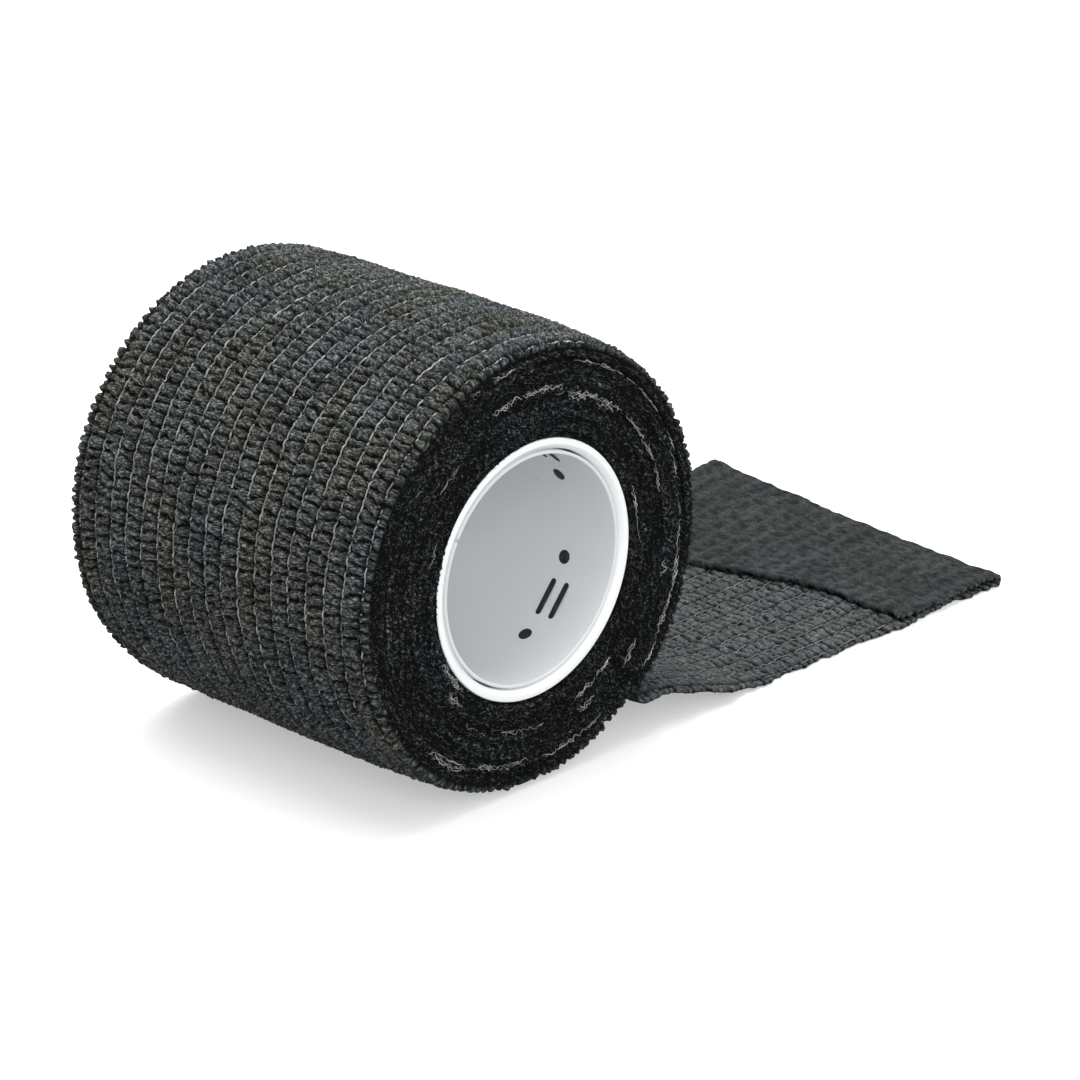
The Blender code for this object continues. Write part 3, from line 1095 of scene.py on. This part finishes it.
def tail_piece(name, start, end, fuzz_seed, materials):
    """A stretch of the free tape with its threads, and its fuzz if that has a seed."""
    rows = max(8, int((end - start) / TAIL_STEP))
    along = np.linspace(start, end, rows)[:, None]
    shapes = [tape_band(along)]
    shapes.append(tape_threads(max(start, CREASE_LENGTH + 0.6), end))
    if fuzz_seed is not None:
        shapes.append(tape_fuzz(start, end, 1, fuzz_seed))
    return make_object(name, shapes, materials)


def build_crease(end, materials):
    """The stretch that bends sharply where it leaves the roll."""
    obj = tail_piece("tail_crease", 0.0, end, 11, materials)
    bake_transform(obj)
    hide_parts("tail_root")


def build_bend(name, start, end, materials):
    """A stretch of the free tape that bends between two bodies, within reach of where they meet."""
    obj = tail_piece(name, start, end, 9, materials)
    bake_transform(obj)
    return obj


def build_fold(start, end, materials):
    """The stretch around the fold, where the tape runs upright at the fold's height. It has no
    fuzz, because fuzz would smear there."""
    obj = tail_piece("tail_fold", start, end, None, materials)
    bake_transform(obj)
    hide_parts("tail_end")


def build_flap(start, materials):
    """The folded end, from just after the fold back to its ragged cut."""
    share, _ = ring_of_tape()
    across = share * HALF_WIDTH
    ragged = 0.3 * noise_2d(across, 0 * across, (1.4, 1.0), 77)
    start_x = FOLD_X - (start - FOLD_END)
    length = start_x - cut_x(across) + ragged
    rows = np.linspace(0, 1, int(length.max() / TAIL_STEP))[:, None]
    whole = length.min()
    shapes = [tape_band(start + rows * length[None])]
    shapes.append(tape_threads(start, start + whole - 0.5))
    shapes.append(tape_fuzz(start, start + whole - 0.3, -1, 5))
    shapes.append(tape_fuzz(start, start + whole - 0.3, 1, 6))
    obj = make_object("tail_flap", shapes, materials)
    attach(obj, "folded_end")
    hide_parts("folded_end")


def build_tail(materials):
    """The free end, in pieces that each cross one bend. They meet where nothing bends."""
    first, second, third = place_at(RISE_X), place_at(FLAT_X), place_at(FOLD_PIECE_X)
    last = FOLD_END + FLAP_START
    build_crease(first, materials)
    rise = build_bend("tail_rise", first, second, materials)
    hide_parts("tail_middle")
    build_bend("tail_flat", second, third, materials)
    build_fold(third, last, materials)
    build_flap(last, materials)


# The setting


FLOOR_HALF_SIZE = 6000.0
WORLD_STRENGTH = 1.05


def build_floor():
    """A white studio floor. It looks evenly lit, and throws less light back than it seems to."""
    material, shader = new_material("floor_look", 0.6, 0.1)
    place = add_node(material, "ShaderNodeTexCoord", {}).outputs["Object"]
    cloud = noise_texture(material, place, (9.0, 9.0, 9.0), 3.0)
    seen = mix_colors(material, cloud, gray(0.58), gray(0.6))
    camera_ray = add_node(material, "ShaderNodeLightPath", {}).outputs["Is Camera Ray"]
    color = mix_colors(material, camera_ray, gray(0.36), seen)
    connect(material, color, shader.inputs["Base Color"])
    glow = multiply(material, camera_ray, 0.4)
    shader.inputs["Emission Color"].default_value = (1.0, 1.0, 1.0, 1.0)
    connect(material, glow, shader.inputs["Emission Strength"])
    corners = np.array([(-1, -1, 0), (1, -1, 0), (1, 1, 0), (-1, 1, 0)]) * FLOOR_HALF_SIZE
    obj = make_object("floor", [plain_shape(corners, [np.array([[0, 1, 2, 3]])])], [material])


def aim(obj, target):
    direction = Vector(target) * MM - obj.location
    obj.rotation_euler = direction.to_track_quat("-Z", "Y").to_euler()


def add_light(name, place, target, size, power):
    light = bpy.data.lights.new(name, "AREA")
    light.shape = "DISK"
    light.size = size * MM
    light.energy = power
    obj = bpy.data.objects.new(name, light)
    obj.location = Vector(place) * MM
    aim(obj, target)
    bpy.context.scene.collection.objects.link(obj)


def build_lights():
    scene = bpy.context.scene
    world = bpy.data.worlds.new("studio")
    scene.world = world
    world.use_nodes = True
    background = world.node_tree.nodes["Background"]
    background.inputs["Color"].default_value = (1.0, 1.0, 1.0, 1.0)
    background.inputs["Strength"].default_value = WORLD_STRENGTH
    middle = (20, 0, 20)
    add_light("overhead", (60, 240, 900), middle, 1050, 11.0)
    add_light("left_front", (-450, -750, 480), middle, 450, 2.9)
    scene.view_settings.view_transform = "Standard"


CAMERA_TARGET = (0.8, -25.0, 30.7)
CAMERA_DISTANCE = 494.0
CAMERA_AZIMUTH = math.radians(45.67)
CAMERA_PITCH = math.radians(21.6)
CAMERA_LENS = 143.4


def build_camera():
    """The camera looks this far round from +Y towards +X, and down by its pitch."""
    flat = math.cos(CAMERA_PITCH)
    side, ahead = math.sin(CAMERA_AZIMUTH), math.cos(CAMERA_AZIMUTH)
    forward = Vector((side * flat, ahead * flat, -math.sin(CAMERA_PITCH)))
    camera = bpy.data.cameras.new("camera")
    camera.lens = CAMERA_LENS
    camera.sensor_width = 36.0
    camera.clip_start, camera.clip_end = 0.01, 50.0
    obj = bpy.data.objects.new("camera", camera)
    obj.location = (Vector(CAMERA_TARGET) - forward * CAMERA_DISTANCE) * MM
    aim(obj, CAMERA_TARGET)
    bpy.context.scene.collection.objects.link(obj)
    bpy.context.scene.camera = obj


def main():
    build_camera()
    build_lights()
    build_floor()
    pale_threads = thread_material("thread_look", 0.12, 0.36)
    soft_threads = thread_material("tail_thread_look", 0.07, 0.17)
    soft_fuzz = thread_material("tail_fuzz_look", 0.03, 0.13)
    white_threads = thread_material("frayed_thread_look", 0.22, 0.6)
    fuzz = thread_material("fuzz_look", 0.05, 0.32)
    face_fuzz = thread_material("cut_fuzz_look", 0.01, 0.12)
    build_wound_fabric(wound_material())
    build_roll_threads(pale_threads)
    build_roll_fuzz(fuzz)
    build_face_fuzz("near_fuzz", -1, face_fuzz, 63)
    build_face_fuzz("far_fuzz", 1, face_fuzz, 64)
    build_wisps("near_wisps", -1, NEAR_WISPS, white_threads, 81)
    build_wisps("far_wisps", 1, FAR_WISPS, white_threads, 91)
    build_core(plastic_material("core_look", (0.88, 0.9, 0.91), 0.3))
    build_liner(plastic_material("liner_look", (0.69, 0.71, 0.72), 0.3))
    build_marks(thread_material("ink_look", 0.012, 0.02))
    build_tail([tail_material(), soft_threads, soft_fuzz])


main()
